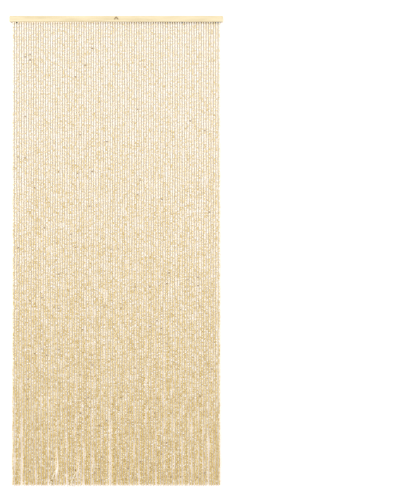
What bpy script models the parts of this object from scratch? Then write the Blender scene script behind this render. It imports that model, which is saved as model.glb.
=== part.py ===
"""Bead curtain on a wooden header rail, at real size, in metres and +Z up.

The origin is the middle of the rail's back face, the face that goes against a wall or a door frame.
The front looks along -Y, the rail runs along X and the strands hang along -Z.
"""
import math
import random

import bmesh
import bpy

# Rail
RAIL_WIDTH = 0.902
RAIL_HEIGHT = 0.026
RAIL_DEPTH = 0.012
RAIL_EDGE = 0.0015
TOUCH_GAP = 0.0003

# Curtain
DROP = 1.986
STRAND_COUNT = 87
STRAND_PITCH = 0.01012
STRAND_WIDTH = 0.0055
STRAND_Y = -RAIL_DEPTH / 2
TAPE_HEIGHT = 0.0050
TAPE_DEPTH = 0.0060
TAPE_OVERHANG = 0.0010

# How the strands drift on their way down: depth is 0 at the rail and 1 at the lower end
LEVELS = (0.0, 0.20, 0.40, 0.55, 0.66, 0.76, 0.84, 0.91, 0.96, 0.98, 1.0)
LEAST_SPACING = STRAND_WIDTH + 0.0011
GATHER_PERIODS = (0.037, 0.059)
GATHER_REACH = 0.0007
GATHER_TOP = 0.55
GATHER_TURN = 1.2
PARTING_REACH = 0.022
WANDER = 0.0008
WANDER_TURNS = 1.3
SWAY = 0.0013
SEED = 17
SWEPT_LEAD = 0.05
SWEPT_STEPPING_OUT = 2.5
SWEPT_CLOSING = 0.014

# Where the curtain opens a little near its lower end
PARTINGS = (
    # x, spread, top
    (-0.399, 0.0025, 0.80),
    (-0.336, 0.0035, 0.84),
    (-0.186, 0.0025, 0.76),
    (-0.135, 0.0030, 0.78),
    (-0.095, 0.0025, 0.86),
    (-0.022, 0.0040, 0.74),
    (0.054, 0.0030, 0.82),
    (0.096, 0.0040, 0.78),
    (0.132, 0.0025, 0.86),
    (0.170, 0.0040, 0.82),
    (0.251, 0.0025, 0.82),
    (0.278, 0.0045, 0.78),
    (0.330, 0.0025, 0.84),
    (0.388, 0.0040, 0.70),
)

# Strands whose lower ends are swept sideways across the front of their neighbours
SWEPT_ENDS = (
    # strand, sideways, forward, top
    (18, -0.024, -0.0068, 0.955),
    (27, -0.031, -0.0068, 0.955),
)

# Wire staple on the rail's front
STAPLE_WIDTH = 0.0150
STAPLE_HEIGHT = 0.0090
STAPLE_FOOT_Z = -0.0020
STAPLE_STANDOFF = 0.0024
STAPLE_WIRE = 0.0014
STAPLE_CROWN = 0.0018
STAPLE_CROWN_DROP = 0.0009


def clear_scene():
    for old in list(bpy.data.objects):
        bpy.data.objects.remove(old, do_unlink=True)


def make_collection(name):
    collection = bpy.data.collections.new(name)
    bpy.context.scene.collection.children.link(collection)
    return collection


def make_material(name, color, roughness, metallic=0.0):
    material = bpy.data.materials.new(name)
    material.use_nodes = True
    shader = material.node_tree.nodes["Principled BSDF"]
    shader.inputs["Base Color"].default_value = (*color, 1.0)
    shader.inputs["Roughness"].default_value = roughness
    shader.inputs["Metallic"].default_value = metallic
    return material


def make_box(name, size, center):
    mesh = bpy.data.meshes.new(name)
    shape = bmesh.new()
    bmesh.ops.create_cube(shape, size=1.0)
    bmesh.ops.scale(shape, vec=size, verts=shape.verts)
    shape.to_mesh(mesh)
    shape.free()
    box = bpy.data.objects.new(name, mesh)
    box.location = center
    return box


def make_tubes(name, paths, radius, bevel_resolution):
    """One curve object with a round or square tube along each path."""
    curve = bpy.data.curves.new(name, "CURVE")
    curve.dimensions = "3D"
    curve.bevel_depth = radius
    curve.bevel_resolution = bevel_resolution
    curve.use_fill_caps = True
    curve.render_resolution_u = 0
    for path in paths:
        spline = curve.splines.new("POLY")
        spline.points.add(len(path) - 1)
        for point, place in zip(spline.points, path):
            point.co = (*place, 1.0)
    return bpy.data.objects.new(name, curve)


def to_mesh_object(curve_object, collection):
    """The curve's tubes as a mesh object, with their caps welded."""
    collection.objects.link(curve_object)
    bpy.context.view_layer.update()
    evaluated = curve_object.evaluated_get(bpy.context.evaluated_depsgraph_get())
    mesh = bpy.data.meshes.new_from_object(evaluated)
    shape = bmesh.new()
    shape.from_mesh(mesh)
    bmesh.ops.remove_doubles(shape, verts=shape.verts, dist=0.00001)
    shape.to_mesh(mesh)
    shape.free()
    name = curve_object.name
    solid = bpy.data.objects.new(name + ".mesh", mesh)
    solid.matrix_world = curve_object.matrix_world
    bpy.data.objects.remove(curve_object, do_unlink=True)
    solid.name = name
    return solid


def ramp(depth, top):
    """0 down to the depth called top, then a smooth rise to 1 at the lower end."""
    part = min(max((depth - top) / (1.0 - top), 0.0), 1.0)
    return part * part * (3.0 - 2.0 * part)


def strand_rest_x(strand):
    return (strand - (STRAND_COUNT - 1) / 2) * STRAND_PITCH


def make_moods():
    """Two seeded numbers for each strand, for its drift sideways and its sway forwards and back."""
    draw = random.Random(SEED)
    return [(draw.uniform(0, 1), draw.uniform(0, 1)) for _ in range(STRAND_COUNT)]


def drift_x(strand, depth, mood):
    """How far a strand has moved sideways at a depth, before its neighbours push back."""
    x = strand_rest_x(strand)
    waves = sum(math.sin(math.tau * x / period + GATHER_TURN * depth) for period in GATHER_PERIODS)
    gather = -GATHER_REACH * waves * ramp(depth, GATHER_TOP)
    parting = 0.0
    closings = tuple((strand_rest_x(swept), -SWEPT_CLOSING, top) for swept, _, _, top in SWEPT_ENDS)
    for place, spread, top in PARTINGS + closings:
        side = (x > place) - (x < place)
        parting += side * spread / 2 * math.exp(-abs(x - place) / PARTING_REACH) * ramp(depth, top)
    wander = WANDER * depth * math.sin(math.tau * (WANDER_TURNS * depth + mood[0]))
    return gather + parting + wander


def least_spacing(strand, depth):
    """How near the next strand on the right may come; a strand swept out of the row takes up no room."""
    swept_out = [top < depth for swept, _, _, top in SWEPT_ENDS if swept in (strand, strand + 1)]
    return LEAST_SPACING / 2 if any(swept_out) else LEAST_SPACING


def strands_at(depth, moods):
    """The centre (x, y) of every strand at a depth, neighbours kept apart from the middle outwards."""
    xs = [strand_rest_x(i) + drift_x(i, depth, moods[i]) for i in range(STRAND_COUNT)]
    middle = STRAND_COUNT // 2
    for i in range(middle + 1, STRAND_COUNT):
        xs[i] = max(xs[i], xs[i - 1] + least_spacing(i - 1, depth))
    for i in range(middle - 1, -1, -1):
        xs[i] = min(xs[i], xs[i + 1] - least_spacing(i, depth))
    ys = [STRAND_Y + SWAY * depth * math.sin(math.tau * (depth + mood[1])) for mood in moods]
    for strand, sideways, forward, top in SWEPT_ENDS:
        xs[strand] += sideways * ramp(depth, top)
        ys[strand] += forward * min(1.0, SWEPT_STEPPING_OUT * ramp(depth, top - SWEPT_LEAD))
    return list(zip(xs, ys))


def strand_paths():
    """Every strand's points, from inside the header tape down to its lower end."""
    moods = make_moods()
    top_z = -RAIL_HEIGHT / 2 - TOUCH_GAP - TAPE_HEIGHT / 2
    low_z = RAIL_HEIGHT / 2 - DROP
    rows = [(top_z + (low_z - top_z) * depth, strands_at(depth, moods)) for depth in LEVELS]
    return [[(*row[strand], z) for z, row in rows] for strand in range(STRAND_COUNT)]


def make_rail(collection):
    rail = make_box("rail", (RAIL_WIDTH, RAIL_DEPTH, RAIL_HEIGHT), (0.0, -RAIL_DEPTH / 2, 0.0))
    bevel = rail.modifiers.new("eased_edges", "BEVEL")
    bevel.width = RAIL_EDGE
    bevel.segments = 2
    rail.data.materials.append(make_material("pale_wood", (0.93, 0.80, 0.56), 0.5))
    collection.objects.link(rail)


def make_strands(collection, cutters):
    """The header tape with every strand fused to it by its root."""
    tape_width = (STRAND_COUNT - 1) * STRAND_PITCH + STRAND_WIDTH + 2 * TAPE_OVERHANG
    tape_z = -RAIL_HEIGHT / 2 - TOUCH_GAP - TAPE_HEIGHT / 2
    strands = make_box("strands", (tape_width, TAPE_DEPTH, TAPE_HEIGHT), (0.0, STRAND_Y, tape_z))
    tubes = make_tubes("strand_tubes", strand_paths(), STRAND_WIDTH / 2, 0)
    tubes = to_mesh_object(tubes, cutters)
    tubes.hide_render = True
    tubes.display_type = "WIRE"
    cutters.objects.link(tubes)
    union = strands.modifiers.new("strands_join_tape", "BOOLEAN")
    union.operation = "UNION"
    union.object = tubes
    strands.data.materials.append(make_material("cream_beads", (0.86, 0.72, 0.48), 0.45))
    collection.objects.link(strands)


def make_staple(collection):
    """A bent wire staple whose two feet stand on the rail's front face."""
    face_y = -RAIL_DEPTH - TOUCH_GAP
    wire_y = face_y - STAPLE_STANDOFF
    side_x = STAPLE_WIDTH / 2
    apex_z = STAPLE_FOOT_Z + STAPLE_HEIGHT
    path = (
        (-side_x, face_y, STAPLE_FOOT_Z),
        (-side_x, wire_y, STAPLE_FOOT_Z),
        (-STAPLE_CROWN, wire_y, apex_z - STAPLE_CROWN_DROP),
        (0.0, wire_y, apex_z),
        (STAPLE_CROWN, wire_y, apex_z - STAPLE_CROWN_DROP),
        (side_x, wire_y, STAPLE_FOOT_Z),
        (side_x, face_y, STAPLE_FOOT_Z),
    )
    staple = make_tubes("wire_staple", [path], STAPLE_WIRE, 1)
    staple.data.materials.append(make_material("brown_wire", (0.30, 0.19, 0.09), 0.45, 0.6))
    collection.objects.link(staple)


clear_scene()
parts = make_collection("bead_curtain")
cutters = make_collection("cutters")
make_rail(parts)
make_strands(parts, cutters)
make_staple(parts)
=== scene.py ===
"""Bead curtain on a wooden header rail: its finished surfaces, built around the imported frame."""

import math
import random

import bmesh
import bpy
import numpy as np
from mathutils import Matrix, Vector


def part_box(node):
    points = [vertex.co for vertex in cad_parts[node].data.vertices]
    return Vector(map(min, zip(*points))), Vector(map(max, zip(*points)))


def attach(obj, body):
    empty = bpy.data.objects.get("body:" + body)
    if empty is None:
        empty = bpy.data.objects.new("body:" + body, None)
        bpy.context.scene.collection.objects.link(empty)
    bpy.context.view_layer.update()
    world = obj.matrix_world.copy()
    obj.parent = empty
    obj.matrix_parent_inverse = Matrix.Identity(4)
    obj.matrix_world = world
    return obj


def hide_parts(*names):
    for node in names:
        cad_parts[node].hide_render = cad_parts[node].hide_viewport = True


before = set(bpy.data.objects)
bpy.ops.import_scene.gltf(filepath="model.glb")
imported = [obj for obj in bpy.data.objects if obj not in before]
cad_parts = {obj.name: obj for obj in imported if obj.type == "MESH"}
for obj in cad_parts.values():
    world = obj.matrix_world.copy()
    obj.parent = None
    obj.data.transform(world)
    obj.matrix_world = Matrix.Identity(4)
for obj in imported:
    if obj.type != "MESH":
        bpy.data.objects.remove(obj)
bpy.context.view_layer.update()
rail_low, rail_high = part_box("rail")
strands_low, strands_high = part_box("strands")

# Strands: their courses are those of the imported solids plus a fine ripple, and the tape is thinner
TOUCH_GAP = 0.0003
STRAND_COUNT = 87
STRAND_PITCH = 0.01012
STRAND_WIDTH = 0.0055
STRAND_Y = (rail_low.y + rail_high.y) / 2
TAPE_HEIGHT = 0.0050
TAPE_DEPTH = 0.0036
TAPE_OVERHANG = 0.0010
LEAST_SPACING = STRAND_WIDTH + 0.0011
GATHER_PERIODS = (0.037, 0.059)
GATHER_REACH = 0.0007
GATHER_TOP = 0.55
GATHER_TURN = 1.2
PARTING_REACH = 0.022
WANDER = 0.0008
WANDER_TURNS = 1.3
SWAY = 0.0013
SEED = 17
RIPPLE = 0.0009
RIPPLE_TURNS = (8.0, 18.0)
RIPPLE_FULL = 0.35
SWEPT_LEAD = 0.05
SWEPT_STEPPING_OUT = 2.5
SWEPT_CLOSING = 0.014
PARTINGS = (
    # x, spread, top
    (-0.399, 0.0025, 0.80),
    (-0.336, 0.0035, 0.84),
    (-0.186, 0.0025, 0.76),
    (-0.135, 0.0030, 0.78),
    (-0.095, 0.0025, 0.86),
    (-0.022, 0.0040, 0.74),
    (0.054, 0.0030, 0.82),
    (0.096, 0.0040, 0.78),
    (0.132, 0.0025, 0.86),
    (0.170, 0.0040, 0.82),
    (0.251, 0.0025, 0.82),
    (0.278, 0.0045, 0.78),
    (0.330, 0.0025, 0.84),
    (0.388, 0.0040, 0.70),
)
SWEPT_ENDS = (
    # strand, sideways, forward, top
    (18, -0.024, -0.0068, 0.955),
    (27, -0.031, -0.0068, 0.955),
)

# Beads
PATH_STEPS = 240
BEAD_PITCH = 0.0060
BEAD_GAP = 0.00016
BEAD_WIDTH = 0.0058
BEAD_END = 0.85
BEAD_SIDES = 6
BEAD_RINGS = 3
BEAD_GROUPS = 6
LENGTH_SPREAD = 0.04
WIDTH_SPREAD = 0.04
TILT_SPREAD = 0.035
OFF_THREAD = 0.00025
# How much lighter the swept strands are painted: painted light, a highlight where they stand forward
SWEPT_PAINTED_LIGHT = 0.50
FLECK_SHARE = (0.001, 0.005)
TOP_TONE = 0.73
# How far the beads' tone falls towards the lower ends: painted shade for the light falling off downwards
LOWER_PAINTED_SHADE = 0.54
PAINTED_SHADE_CURVE = 1.5
# The first bead under the rail is painted light, near white against the rail's shadow
TOP_BEAD_PAINTED_LIGHT = 1.0
STRAND_TONE_SPREAD = 0.03
BEAD_TONE_SPREAD = (0.12, 0.18)
BEAD_SHARP_ANGLE = math.radians(62)

# Threads and their end knots
THREAD_RADIUS = 0.0004
THREAD_STEPS = 60
THREAD_SIDES = 4
KNOT_RADIUS = 0.0013
KNOT_ROOM = 0.0042
KNOT_RISE = 0.6 * KNOT_ROOM
KNOT_LUMPS = 0.18

# Header tape
TAPE_STEPS_PER_STRAND = 6
TAPE_SIDES = 12
TAPE_SQUARENESS = 0.6
TAPE_PUCKER_DEPTH = 0.10
TAPE_PUCKER_HEIGHT = 0.12
TAPE_SHARP_ANGLE = math.radians(60)
DARK_GAPS = (1, 65, 70, 84, 85)
DARK_GAP_REACH = 0.0056
DARK_GAP_EDGE = 4.0
# Where the tape's painted shade eases off towards its left end
EASED_SHADE_FROM_X, EASED_SHADE_TO_X = -0.2, 0.2

# Staple
STAPLE_WIRE = 0.0014
STAPLE_BEND = 0.0012


def ramp(depth, top):
    """0 down to the depth called top, then a smooth rise to 1 at the lower end."""
    part = min(max((depth - top) / (1.0 - top), 0.0), 1.0)
    return part * part * (3.0 - 2.0 * part)


def strand_rest_x(strand):
    return (strand - (STRAND_COUNT - 1) / 2) * STRAND_PITCH


def make_moods():
    """Two seeded numbers for each strand, for its drift sideways and its sway forwards and back."""
    draw = random.Random(SEED)
    return [(draw.uniform(0, 1), draw.uniform(0, 1)) for _ in range(STRAND_COUNT)]


def drift_x(strand, depth, mood):
    """How far a strand has moved sideways at a depth, before its neighbours push back."""
    x = strand_rest_x(strand)
    waves = sum(math.sin(math.tau * x / period + GATHER_TURN * depth) for period in GATHER_PERIODS)
    gather = -GATHER_REACH * waves * ramp(depth, GATHER_TOP)
    parting = 0.0
    closings = tuple((strand_rest_x(swept), -SWEPT_CLOSING, top) for swept, _, _, top in SWEPT_ENDS)
    for place, spread, top in PARTINGS + closings:
        side = (x > place) - (x < place)
        parting += side * spread / 2 * math.exp(-abs(x - place) / PARTING_REACH) * ramp(depth, top)
    wander = WANDER * depth * math.sin(math.tau * (WANDER_TURNS * depth + mood[0]))
    turns = RIPPLE_TURNS[0] + (RIPPLE_TURNS[1] - RIPPLE_TURNS[0]) * mood[1]
    ripple = RIPPLE * min(1.0, depth / RIPPLE_FULL) * math.sin(math.tau * (turns * depth + mood[0]))
    return gather + parting + wander + ripple


def least_spacing(strand, depth):
    """How near the next strand on the right may come; a strand swept out of the row takes up no room."""
    swept_out = [top < depth for swept, _, _, top in SWEPT_ENDS if swept in (strand, strand + 1)]
    return LEAST_SPACING / 2 if any(swept_out) else LEAST_SPACING


def strands_at(depth, moods):
    """The centre (x, y) of every strand at a depth, neighbours kept apart from the middle outwards."""
    xs = [strand_rest_x(i) + drift_x(i, depth, moods[i]) for i in range(STRAND_COUNT)]
    middle = STRAND_COUNT // 2
    for i in range(middle + 1, STRAND_COUNT):
        xs[i] = max(xs[i], xs[i - 1] + least_spacing(i - 1, depth))
    for i in range(middle - 1, -1, -1):
        xs[i] = min(xs[i], xs[i + 1] - least_spacing(i, depth))
    ys = [STRAND_Y + SWAY * depth * math.sin(math.tau * (depth + mood[1])) for mood in moods]
    for strand, sideways, forward, top in SWEPT_ENDS:
        xs[strand] += sideways * ramp(depth, top)
        ys[strand] += forward * min(1.0, SWEPT_STEPPING_OUT * ramp(depth, top - SWEPT_LEAD))
    return list(zip(xs, ys))


def strand_paths(steps):
    """An array of points, one row for each strand, from the rail's underside down to the lower ends."""
    moods = make_moods()
    top_z = rail_low.z - TOUCH_GAP
    low_z = strands_low.z + TOUCH_GAP
    depths = np.linspace(0.0, 1.0, steps)
    flat = np.array([strands_at(depth, moods) for depth in depths])
    z = np.broadcast_to((top_z + (low_z - top_z) * depths)[:, None, None], flat.shape[:2] + (1,))
    return np.concatenate([flat, z], axis=2).transpose(1, 0, 2)


def along(path, places):
    """Points at the given distances along one strand's path."""
    run = np.concatenate([[0.0], np.cumsum(np.linalg.norm(np.diff(path, axis=0), axis=1))])
    return np.stack([np.interp(places, run, path[:, axis]) for axis in range(3)], axis=1), run[-1]


def bead_cuts(path, draw):
    """Where the beads of one strand meet, as distances from its top."""
    length = along(path, [0.0])[1] - KNOT_ROOM
    count = round(length / BEAD_PITCH)
    lengths = 1.0 + draw.uniform(-LENGTH_SPREAD, LENGTH_SPREAD, count)
    cuts = np.concatenate([[0.0], np.cumsum(lengths)])
    return cuts * length / cuts[-1]


def side_axes(run):
    """Two directions square to each run and to each other."""
    across = np.array([1.0, 0.0, 0.0]) - run * run[:, :1]
    across /= np.linalg.norm(across, axis=1, keepdims=True)
    return across, np.cross(run, across)


def mesh_from_loops(name, points, faces_by_size):
    """A mesh from an array of points and, for each number of sides, an array of faces."""
    mesh = bpy.data.meshes.new(name)
    loops = np.concatenate([faces.ravel() for faces in faces_by_size])
    sizes = np.concatenate([np.full(len(faces), faces.shape[1]) for faces in faces_by_size])
    starts = np.concatenate([[0], np.cumsum(sizes)[:-1]])
    mesh.vertices.add(len(points))
    mesh.vertices.foreach_set("co", points.astype(np.float32).ravel())
    mesh.loops.add(len(loops))
    mesh.loops.foreach_set("vertex_index", loops.astype(np.int32))
    mesh.polygons.add(len(sizes))
    mesh.polygons.foreach_set("loop_start", starts.astype(np.int32))
    mesh.update(calc_edges=True)
    mesh.validate()
    return mesh


def tube_faces(count, rings, sides):
    """Side quads and the two end faces of many tubes, each with rings of points from top to bottom."""
    first = (np.arange(count) * rings * sides)[:, None, None]
    ring = (np.arange(rings - 1) * sides)[None, :, None]
    side = np.arange(sides)[None, None, :]
    after = (side + 1) % sides
    base = first + ring
    quads = np.stack([base + side, base + side + sides, base + after + sides, base + after], axis=-1)
    top = first[:, 0] + np.arange(sides)[None]
    bottom = first[:, 0] + (rings - 1) * sides + np.arange(sides)[::-1][None]
    return [quads.reshape(-1, 4), top, bottom]


def add_attribute(mesh, name, values):
    layer = mesh.attributes.new(name, "FLOAT", "POINT")
    layer.data.foreach_set("value", values.astype(np.float32))


def make_bead_group(name, paths, draw, material):
    """All the beads of some neighbouring strands, as one mesh."""
    centres, runs, halves, tones, flecks = [], [], [], [], []
    for strand, path in paths:
        cuts = bead_cuts(path, draw)
        ends, _ = along(path, cuts)
        run = ends[1:] - ends[:-1]
        length = np.linalg.norm(run, axis=1, keepdims=True)
        centres.append((ends[1:] + ends[:-1]) / 2)
        runs.append(run / length)
        halves.append((length[:, 0] - BEAD_GAP) / 2)
        depth = np.linspace(0.0, 1.0, len(run))
        # Each strand's tone falls towards its lower end, darker and tanner: painted shade for the light
        # falling off downwards
        middle_tone = TOP_TONE - LOWER_PAINTED_SHADE * depth ** PAINTED_SHADE_CURVE + draw.normal(0.0, STRAND_TONE_SPREAD)
        # Painted light: the first bead of each strand is made near white to stand out of the rail's
        # shadow
        middle_tone[0] = TOP_BEAD_PAINTED_LIGHT
        spread = BEAD_TONE_SPREAD[0] + (BEAD_TONE_SPREAD[1] - BEAD_TONE_SPREAD[0]) * depth
        # A strand swept forward out of the row is painted lighter along its swept part: painted light,
        # as a highlight where it stands forward
        for swept, _, _, top in SWEPT_ENDS:
            if swept == strand:
                middle_tone += SWEPT_PAINTED_LIGHT * np.array([ramp(place, top - SWEPT_LEAD) for place in depth])
        tones.append(middle_tone + spread * draw.normal(0.0, 1.0, len(run)))
        fleck_share = FLECK_SHARE[0] + (FLECK_SHARE[1] - FLECK_SHARE[0]) * depth
        dark = draw.uniform(0.0, 1.0, len(run)) < fleck_share
        flecks.append(dark.astype(float))
    centres, runs = np.concatenate(centres), np.concatenate(runs)
    halves, tones = np.concatenate(halves), np.concatenate(tones).clip(0.0, 1.0)
    flecks = np.concatenate(flecks)
    count = len(centres)
    runs = runs + draw.normal(0.0, TILT_SPREAD, (count, 3))
    runs /= np.linalg.norm(runs, axis=1, keepdims=True)
    across, through = side_axes(runs)
    centres[:, :2] += draw.uniform(-OFF_THREAD, OFF_THREAD, (count, 2))
    radii = BEAD_WIDTH / 2 * (1.0 + draw.uniform(-WIDTH_SPREAD, WIDTH_SPREAD, count))
    turn = draw.uniform(0.0, math.tau, (count, 1)) + np.arange(BEAD_SIDES)[None] * math.tau / BEAD_SIDES
    round_way = np.cos(turn)[..., None] * across[:, None] + np.sin(turn)[..., None] * through[:, None]
    rings = []
    for place in np.linspace(-1.0, 1.0, BEAD_RINGS):
        # A barrel: widest at its middle, BEAD_END of that at its ends
        ring_radii = radii * (1.0 - (1.0 - BEAD_END) * place * place)
        ring_centres = centres + place * halves[:, None] * runs
        rings.append(ring_centres[:, None] + ring_radii[:, None, None] * round_way)
    points = np.stack(rings, axis=1).reshape(-1, 3)
    mesh = mesh_from_loops(name, points, tube_faces(count, BEAD_RINGS, BEAD_SIDES))
    mesh.shade_smooth()
    mesh.set_sharp_from_angle(angle=BEAD_SHARP_ANGLE)
    add_attribute(mesh, "bead_tone", np.repeat(tones, BEAD_RINGS * BEAD_SIDES))
    add_attribute(mesh, "bead_fleck", np.repeat(flecks, BEAD_RINGS * BEAD_SIDES))
    # 1 at a bead's two ends and 0 at its middle, the mask of the painted shade where beads meet
    towards_end = np.linspace(-1.0, 1.0, BEAD_RINGS) ** 2
    add_attribute(mesh, "bead_end", np.tile(np.repeat(towards_end, BEAD_SIDES), count))
    mesh.materials.append(material)
    beads = bpy.data.objects.new(name, mesh)
    bpy.context.collection.objects.link(beads)
    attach(beads, "root")
    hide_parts("strands")


def make_beads(material):
    paths = strand_paths(PATH_STEPS)
    draw = np.random.default_rng(SEED)
    for k, strands in enumerate(np.array_split(np.arange(STRAND_COUNT), BEAD_GROUPS)):
        group = [(strand, paths[strand]) for strand in strands]
        make_bead_group(f"beads_{k + 1}", group, draw, material)


def make_threads(material):
    """The cotton thread inside every strand."""
    paths = strand_paths(THREAD_STEPS)
    turn = np.arange(THREAD_SIDES) * math.tau / THREAD_SIDES
    ring = THREAD_RADIUS * np.stack([np.cos(turn), np.sin(turn), np.zeros(THREAD_SIDES)], axis=1)
    points = (paths[:, ::-1, None] + ring).reshape(-1, 3)
    mesh = mesh_from_loops("threads", points, tube_faces(STRAND_COUNT, THREAD_STEPS, THREAD_SIDES))
    threads = bpy.data.objects.new("threads", mesh)
    mesh.shade_smooth()
    mesh.materials.append(material)
    bpy.context.collection.objects.link(threads)
    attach(threads, "root")
    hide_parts("strands")


def make_knots(material):
    """A small lumpy knot under the last bead of every strand."""
    draw = np.random.default_rng(SEED + 1)
    shape = bmesh.new()
    for x, y, z in strand_paths(THREAD_STEPS)[:, -1]:
        made = bmesh.ops.create_icosphere(shape, subdivisions=1, radius=KNOT_RADIUS)["verts"]
        for vert in made:
            vert.co *= 1.0 + draw.uniform(-KNOT_LUMPS, KNOT_LUMPS)
            vert.co += Vector((x, y, z + KNOT_RISE))
    mesh = bpy.data.meshes.new("end_knots")
    shape.to_mesh(mesh)
    shape.free()
    mesh.shade_smooth()
    mesh.materials.append(material)
    knots = bpy.data.objects.new("end_knots", mesh)
    bpy.context.collection.objects.link(knots)
    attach(knots, "root")
    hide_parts("strands")


def make_tape(material):
    """The woven header tape, a little puckered where each strand leaves it."""
    width = (STRAND_COUNT - 1) * STRAND_PITCH + STRAND_WIDTH + 2 * TAPE_OVERHANG
    stations = np.linspace(-width / 2, width / 2, STRAND_COUNT * TAPE_STEPS_PER_STRAND + 1)
    pucker = 0.5 - 0.5 * np.cos(math.tau * (stations / STRAND_PITCH + 0.5))
    turn = np.arange(TAPE_SIDES) * math.tau / TAPE_SIDES
    # A squared-off oval
    oval_y = np.sign(np.cos(turn)) * np.abs(np.cos(turn)) ** TAPE_SQUARENESS
    oval_z = np.sign(np.sin(turn)) * np.abs(np.sin(turn)) ** TAPE_SQUARENESS
    half_y = TAPE_DEPTH / 2 * (1.0 - TAPE_PUCKER_DEPTH * pucker)
    half_z = TAPE_HEIGHT / 2 * (1.0 - TAPE_PUCKER_HEIGHT * pucker)
    middle_z = rail_low.z - TOUCH_GAP - TAPE_HEIGHT / 2
    points = np.stack(
        [
            np.broadcast_to(stations[:, None], (len(stations), TAPE_SIDES)),
            STRAND_Y + half_y[:, None] * oval_y[None],
            middle_z + half_z[:, None] * oval_z[None],
        ],
        axis=-1,
    )
    faces = tube_faces(1, len(stations), TAPE_SIDES)
    mesh = mesh_from_loops("header_tape", points[::-1].reshape(-1, 3), faces)
    mesh.shade_smooth()
    mesh.set_sharp_from_angle(angle=TAPE_SHARP_ANGLE)
    # 1 in the middle of each dark gap between two strands, falling to 0 at DARK_GAP_REACH from it
    gap_places = np.array([strand_rest_x(strand + 0.5) for strand in DARK_GAPS])
    nearest = np.abs(points[::-1, :, :1] - gap_places).min(axis=-1)
    add_attribute(mesh, "dark_gap", (1.0 - nearest / DARK_GAP_REACH).clip(0.0, 1.0).ravel())
    mesh.materials.append(material)
    tape = bpy.data.objects.new("header_tape", mesh)
    bpy.context.collection.objects.link(tape)
    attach(tape, "root")
    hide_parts("strands")


def make_staple(material):
    """A bent wire staple with rounded bends, in place of the faceted one."""
    low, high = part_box("wire_staple")
    bend = STAPLE_BEND
    side_x = (high.x - low.x) / 2 - STAPLE_WIRE
    foot_z = low.z + STAPLE_WIRE
    apex_z = high.z - STAPLE_WIRE
    face_y = high.y
    wire_y = low.y + STAPLE_WIRE
    # From the left foot to the crown, with points set back from each corner by a share of the bend
    path = [
        (-side_x, face_y, foot_z),
        (-side_x, wire_y + bend, foot_z),
        (-side_x + 0.25 * bend, wire_y + 0.25 * bend, foot_z + 0.25 * bend),
        (-side_x + bend, wire_y, foot_z + 1.2 * bend),
        (-1.2 * bend, wire_y, apex_z - 0.9 * bend),
        (-0.5 * bend, wire_y, apex_z - 0.2 * bend),
        (0.0, wire_y, apex_z),
    ]
    path += [(-x, y, z) for x, y, z in path[-2::-1]]
    curve = bpy.data.curves.new("staple_wire", "CURVE")
    curve.dimensions = "3D"
    curve.bevel_depth = STAPLE_WIRE
    curve.bevel_resolution = 3
    curve.use_fill_caps = True
    curve.resolution_u = 4
    spline = curve.splines.new("NURBS")
    spline.points.add(len(path) - 1)
    for point, place in zip(spline.points, path):
        point.co = (*place, 1.0)
    spline.order_u = 3
    spline.use_endpoint_u = True
    staple = bpy.data.objects.new("staple_wire", curve)
    curve.materials.append(material)
    bpy.context.collection.objects.link(staple)
    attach(staple, "root")
    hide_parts("wire_staple")


class Nodes:
    """A short way to write a material's node tree."""

    def __init__(self, name):
        self.material = bpy.data.materials.new(name)
        self.material.use_nodes = True
        self.tree = self.material.node_tree
        self.shader = self.tree.nodes["Principled BSDF"]

    def add(self, kind, inputs=None, **settings):
        node = self.tree.nodes.new(kind)
        for key, value in settings.items():
            setattr(node, key, value)
        for key, value in (inputs or {}).items():
            self.put(node.inputs[key], value)
        return node

    def put(self, socket, value):
        if isinstance(value, bpy.types.NodeSocket):
            self.tree.links.new(value, socket)
        else:
            socket.default_value = value

    def ramp(self, value, stops):
        node = self.add("ShaderNodeValToRGB", {"Fac": value})
        elements = node.color_ramp.elements
        while len(elements) < len(stops):
            elements.new(1.0)
        for element, (place, color) in zip(elements, stops):
            element.position = place
            element.color = (*color, 1.0)
        return node.outputs["Color"]

    def noise(self, vector, scale, detail=4.0, roughness=0.5):
        inputs = {"Vector": vector, "Scale": scale, "Detail": detail, "Roughness": roughness}
        return self.add("ShaderNodeTexNoise", inputs).outputs["Fac"]

    def stretched(self, scale):
        place = self.add("ShaderNodeTexCoord").outputs["Object"]
        return self.add("ShaderNodeMapping", {"Vector": place, "Scale": scale}).outputs["Vector"]

    def mix(self, factor, first, second):
        node = self.add("ShaderNodeMix", data_type="RGBA")
        self.put(node.inputs[0], factor)
        for socket, value in ((node.inputs[6], first), (node.inputs[7], second)):
            self.put(socket, (*value, 1.0) if isinstance(value, tuple) else value)
        return node.outputs[2]

    def math(self, operation, first, second):
        node = self.add("ShaderNodeMath", operation=operation)
        self.put(node.inputs[0], first)
        self.put(node.inputs[1], second)
        return node.outputs[0]

    def bump(self, height, strength, distance):
        node = self.add("ShaderNodeBump", {"Height": height, "Strength": strength, "Distance": distance})
        self.put(self.shader.inputs["Normal"], node.outputs["Normal"])


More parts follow.
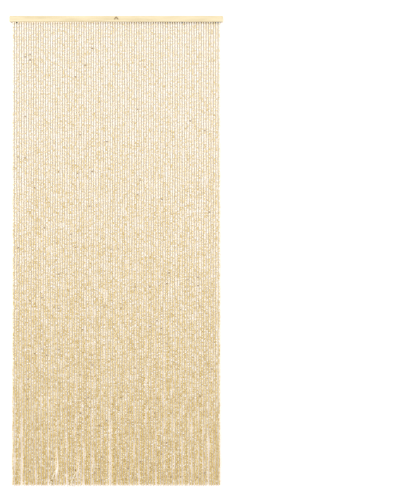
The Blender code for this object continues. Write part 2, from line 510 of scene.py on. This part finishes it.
def bead_material():
    """Satin wooden beads, cream to tan, each with its own tone and now and then a dark fleck. The tone
    carries painted shade towards the lower ends and painted light on some beads, and the darkening at
    each bead's ends is painted shade where beads meet.
    """
    n = Nodes("wooden_beads")
    tone = n.add("ShaderNodeAttribute", attribute_name="bead_tone").outputs["Fac"]
    fleck = n.add("ShaderNodeAttribute", attribute_name="bead_fleck").outputs["Fac"]
    end = n.add("ShaderNodeAttribute", attribute_name="bead_end").outputs["Fac"]
    mottle = n.noise(n.stretched((1.0, 1.0, 1.0)), 300.0, 1.0)
    tone = n.math("ADD", tone, n.math("MULTIPLY", n.math("SUBTRACT", mottle, 0.5), 2.6))
    color = n.ramp(tone, (
        (0.00, (0.46, 0.30, 0.03)),
        (0.30, (0.75, 0.57, 0.14)),
        (0.55, (0.82, 0.75, 0.53)),
        (0.80, (0.85, 0.85, 0.82)),
        (1.00, (0.90, 0.90, 0.89)),
    ))
    grain = n.noise(n.stretched((1.0, 1.0, 0.25)), 900.0)
    color = n.mix(n.math("MULTIPLY", grain, 0.20), color, (0.62, 0.43, 0.22))
    spots = n.noise(n.stretched((1.0, 1.0, 1.0)), 420.0, 2.0)
    # Painted shade in the grooves where beads meet, darkest at each bead's two ends
    joint_shade = n.math("MULTIPLY", n.math("POWER", end, 2.0), 0.75)
    color = n.mix(joint_shade, color, (0.40, 0.28, 0.12))
    dark = n.math("MULTIPLY", fleck, n.math("GREATER_THAN", spots, 0.42))
    color = n.mix(dark, color, (0.26, 0.16, 0.05))
    n.put(n.shader.inputs["Base Color"], color)
    rough = n.add("ShaderNodeMapRange", {"Value": grain, "To Min": 0.34, "To Max": 0.56})
    n.put(n.shader.inputs["Roughness"], rough.outputs["Result"])
    n.bump(grain, 0.25, 0.0002)
    return n.material


def thread_material():
    """Matt twisted cotton, for the threads and their end knots."""
    n = Nodes("cotton_thread")
    place = n.stretched((1.0, 1.0, 1.0))
    twist = n.add("ShaderNodeTexWave", {"Vector": place, "Scale": 700.0, "Distortion": 1.5})
    color = n.mix(twist.outputs["Fac"], (0.74, 0.62, 0.44), (0.88, 0.80, 0.66))
    n.put(n.shader.inputs["Base Color"], color)
    n.shader.inputs["Roughness"].default_value = 0.9
    n.bump(twist.outputs["Fac"], 0.3, 0.0001)
    return n.material


def tape_material():
    """Woven tape painted dark brown as the shade under the rail between the strands' tops, the painted
    shade easing off towards its left end, and nearly black in the dark gaps.
    """
    n = Nodes("woven_tape")
    place = n.stretched((1.0, 1.0, 1.0))
    across = {"Vector": place, "Scale": 400.0, "Distortion": 0.6}
    upright = {"Vector": place, "Scale": 520.0, "Distortion": 0.6}
    warp = n.add("ShaderNodeTexWave", across, bands_direction="X")
    weft = n.add("ShaderNodeTexWave", upright, bands_direction="Z")
    weave = n.math("MULTIPLY", warp.outputs["Fac"], weft.outputs["Fac"])
    # The tape's dark brown is painted shade under the rail, seen between the strands' tops
    color = n.mix(weave, (0.13, 0.085, 0.045), (0.27, 0.19, 0.11))
    # The painted shade eases off towards the tape's left end
    place_x = n.add("ShaderNodeSeparateXYZ", {"Vector": place}).outputs["X"]
    eased_shade = n.add("ShaderNodeMapRange", {
        "Value": place_x,
        "From Min": EASED_SHADE_FROM_X,
        "From Max": EASED_SHADE_TO_X,
        "To Min": 0.75,
        "To Max": 0.0,
    })
    color = n.mix(eased_shade.outputs["Result"], color, (0.62, 0.49, 0.32))
    gap = n.add("ShaderNodeAttribute", attribute_name="dark_gap").outputs["Fac"]
    gap = n.math("MINIMUM", n.math("MULTIPLY", gap, DARK_GAP_EDGE), 1.0)
    n.put(n.shader.inputs["Base Color"], n.mix(gap, color, (0.006, 0.003, 0.001)))
    n.shader.inputs["Roughness"].default_value = 0.9
    n.shader.inputs["Specular IOR Level"].default_value = 0.1
    n.bump(weave, 0.4, 0.0002)
    return n.material


def wood_material():
    """Pale varnished softwood: long fine grain along the rail and a few broad bands."""
    n = Nodes("pale_wood_rail")
    long_way = n.stretched((1.0, 14.0, 14.0))
    bands = n.noise(long_way, 9.0, 3.0, 0.6)
    fibres = n.noise(n.stretched((1.0, 40.0, 40.0)), 26.0, 6.0, 0.65)
    color = n.ramp(bands, (
        (0.30, (0.42, 0.36, 0.21)),
        (0.50, (0.50, 0.44, 0.28)),
        (0.72, (0.56, 0.50, 0.34)),
    ))
    color = n.mix(n.math("MULTIPLY", fibres, 0.35), color, (0.70, 0.50, 0.27))
    n.put(n.shader.inputs["Base Color"], color)
    rough = n.add("ShaderNodeMapRange", {"Value": fibres, "To Min": 0.36, "To Max": 0.55})
    n.put(n.shader.inputs["Roughness"], rough.outputs["Result"])
    n.shader.inputs["Coat Weight"].default_value = 0.2
    n.shader.inputs["Coat Roughness"].default_value = 0.3
    n.bump(fibres, 0.15, 0.0003)
    return n.material


def wire_material():
    """Dull brown wire with a patchy patina."""
    n = Nodes("browned_wire")
    patina = n.noise(n.stretched((1.0, 1.0, 1.0)), 300.0, 5.0)
    color = n.ramp(patina, ((0.3, (0.13, 0.075, 0.035)), (0.7, (0.36, 0.23, 0.11))))
    n.put(n.shader.inputs["Base Color"], color)
    n.shader.inputs["Metallic"].default_value = 0.55
    rough = n.add("ShaderNodeMapRange", {"Value": patina, "To Min": 0.3, "To Max": 0.6})
    n.put(n.shader.inputs["Roughness"], rough.outputs["Result"])
    n.bump(patina, 0.2, 0.0002)
    return n.material


# Camera: square on to the curtain, which stands left of the picture's middle as in the photograph
PICTURE_WIDTH, PICTURE_HEIGHT = 400, 500
RAIL_LEFT_PX, RAIL_RIGHT_PX, RAIL_TOP_PX = 9.35, 222.97, 15.6
CAMERA_DISTANCE = 6.0
SENSOR = 36.0


def make_camera():
    metres_per_px = (rail_high.x - rail_low.x) / (RAIL_RIGHT_PX - RAIL_LEFT_PX)
    middle_px = (RAIL_LEFT_PX + RAIL_RIGHT_PX) / 2
    x = (PICTURE_WIDTH / 2 - middle_px) * metres_per_px
    z = rail_high.z - (PICTURE_HEIGHT / 2 - RAIL_TOP_PX) * metres_per_px
    data = bpy.data.cameras.new("camera")
    data.sensor_width = SENSOR
    data.lens = SENSOR * CAMERA_DISTANCE / (PICTURE_HEIGHT * metres_per_px)
    camera = bpy.data.objects.new("camera", data)
    camera.location = (x, rail_low.y - CAMERA_DISTANCE, z)
    camera.rotation_euler = (math.pi / 2, 0.0, 0.0)
    bpy.context.collection.objects.link(camera)
    bpy.context.scene.camera = camera


# Stage
FLOOR_DROP = 0.09
STAGE_SIZE = 40.0
WALL_BACK = 0.001
FLOOR_COLOR = (0.86, 0.85, 0.84)
WALL_COLOR = (0.95, 0.88, 0.84)
CLOUD_SHADE = 0.97
WORLD_STRENGTH = 0.77
KEY_WATTS = 161.0
KEY_PLACE = (-2.85, -3.7, 1.4)
FILL_WATTS = 113.0
FILL_PLACE = (2.75, -3.7, 1.0)
LIGHT_AIM = (0.0, 0.0, -0.7)
LIGHT_SIZE = 1.2


def stage_plane(name, corners, material):
    mesh = bpy.data.meshes.new(name)
    mesh.from_pydata(corners, [], [(0, 1, 2, 3)])
    mesh.materials.append(material)
    plane = bpy.data.objects.new(name, mesh)
    bpy.context.collection.objects.link(plane)
    return plane


def plain_stage_material(name, color, one_sided):
    """A matt, faintly cloudy surface. One that is one-sided can't be seen from its back."""
    n = Nodes(name)
    cloud = n.noise(n.stretched((1.0, 1.0, 1.0)), 1.5, 2.0)
    shade = tuple(CLOUD_SHADE * part for part in color)
    n.put(n.shader.inputs["Base Color"], n.mix(cloud, shade, color))
    n.shader.inputs["Roughness"].default_value = 0.9
    if one_sided:
        back = n.add("ShaderNodeNewGeometry").outputs["Backfacing"]
        clear = n.add("ShaderNodeBsdfTransparent")
        both = n.add("ShaderNodeMixShader")
        n.put(both.inputs[0], back)
        n.put(both.inputs[1], n.shader.outputs[0])
        n.put(both.inputs[2], clear.outputs[0])
        n.put(n.tree.nodes["Material Output"].inputs["Surface"], both.outputs[0])
    return n.material


def make_stage():
    half = STAGE_SIZE / 2
    floor_z = strands_low.z - FLOOR_DROP
    wall_y = rail_high.y + WALL_BACK
    stage_plane(
        "floor",
        [(-half, -half, floor_z), (half, -half, floor_z), (half, half, floor_z), (-half, half, floor_z)],
        plain_stage_material("pale_floor", FLOOR_COLOR, False),
    )
    wall = stage_plane(
        "wall",
        [(-half, wall_y, floor_z), (half, wall_y, floor_z), (half, wall_y, half), (-half, wall_y, half)],
        plain_stage_material("pale_wall", WALL_COLOR, True),
    )
    # The wall lets light through to the curtain's back, so that views from behind aren't dark
    wall.visible_shadow = False
    wall.visible_diffuse = False
    wall.visible_glossy = False


def area_light(name, place, watts):
    """A square lamp that looks at LIGHT_AIM and isn't seen itself."""
    data = bpy.data.lights.new(name, "AREA")
    data.shape = "SQUARE"
    data.size = LIGHT_SIZE
    data.energy = watts
    light = bpy.data.objects.new(name, data)
    light.location = place
    light.rotation_euler = (Vector(LIGHT_AIM) - Vector(place)).to_track_quat("-Z", "Y").to_euler()
    light.visible_camera = False
    bpy.context.collection.objects.link(light)


def make_light():
    bpy.context.scene.view_settings.view_transform = "Standard"
    world = bpy.data.worlds.new("studio")
    world.use_nodes = True
    background = world.node_tree.nodes["Background"]
    background.inputs["Color"].default_value = (1.0, 1.0, 1.0, 1.0)
    background.inputs["Strength"].default_value = WORLD_STRENGTH
    bpy.context.scene.world = world
    area_light("key", KEY_PLACE, KEY_WATTS)
    area_light("fill", FILL_PLACE, FILL_WATTS)


make_camera()
make_stage()
make_light()
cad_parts["rail"].data.materials[0] = wood_material()
make_beads(bead_material())
thread = thread_material()
make_threads(thread)
make_knots(thread)
make_tape(tape_material())
make_staple(wire_material())
bpy.context.view_layer.update()
